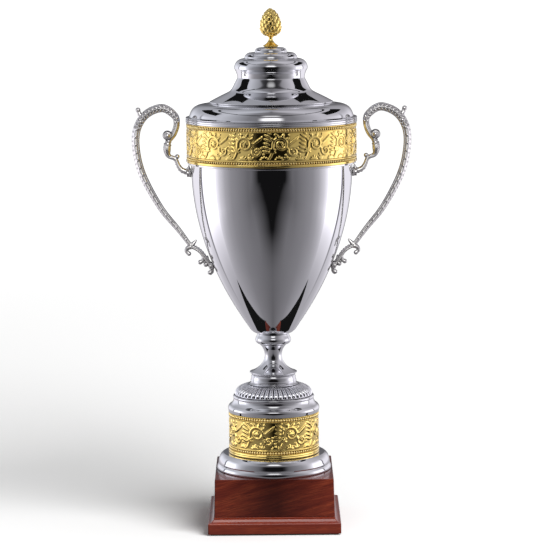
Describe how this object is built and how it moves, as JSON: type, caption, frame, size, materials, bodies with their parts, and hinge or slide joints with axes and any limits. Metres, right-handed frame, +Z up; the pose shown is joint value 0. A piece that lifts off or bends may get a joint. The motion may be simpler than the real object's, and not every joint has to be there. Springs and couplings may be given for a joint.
{
  "type": "lidded cup trophy",
  "caption": "Two-handled presentation cup with a lift-off lid, gilt ornament bands, turned stem, drum pedestal and a square hardwood plinth.",
  "frame": {"origin": "centre of the felt underside, on the table", "axes": "+Z up along the cup's axis, X through the two handles, -Y towards the viewer"},
  "size_m": [0.3284, 0.2006, 0.61],
  "materials": {
    "chrome": "mirror-polished plate on spun sheet",
    "gold_plate": "polished gold-coloured plate",
    "cast_silver": "bright silver-coloured plate on a casting",
    "steel": "plain zinc-plated steel",
    "mahogany": "gloss-varnished red-brown hardwood",
    "felt": "dark felt"
  },
  "bodies": {
    "root": {"base_nut": "steel", "base_washer": "steel", "bowl": "chrome", "bowl_nut": "steel", "bowl_rim_ring": "chrome", "bowl_washer": "steel", "drum": "chrome", "drum_cap": "chrome", "felt_pad": "felt", "foot_ring": "chrome", "gadroon_dome": "chrome", "handle_left": "cast_silver", "handle_right": "cast_silver", "handle_screw_left_lower": "steel", "handle_screw_left_upper": "steel", "handle_screw_right_lower": "steel", "handle_screw_right_upper": "steel", "handle_washer_left_lower": "steel", "handle_washer_left_upper": "steel", "handle_washer_right_lower": "steel", "handle_washer_right_upper": "steel", "lower_gold_band": "gold_plate", "neck_ring": "chrome", "plinth_block": "mahogany", "plinth_board": "mahogany", "stem": "chrome", "stem_knop": "chrome", "tie_rod": "steel", "upper_gold_band": "gold_plate"},
    "lid": {"finial": "gold_plate", "finial_screw": "steel", "finial_washer": "steel", "lid_crown": "chrome", "lid_dome": "chrome", "lid_locating_ring": "chrome"}
  },
  "joints": [
    {"name": "lid_lift", "type": "slide", "parent": "root", "child": "lid", "axis": [0, 0, 1], "range_m": [0, 0.12]}
  ]
}
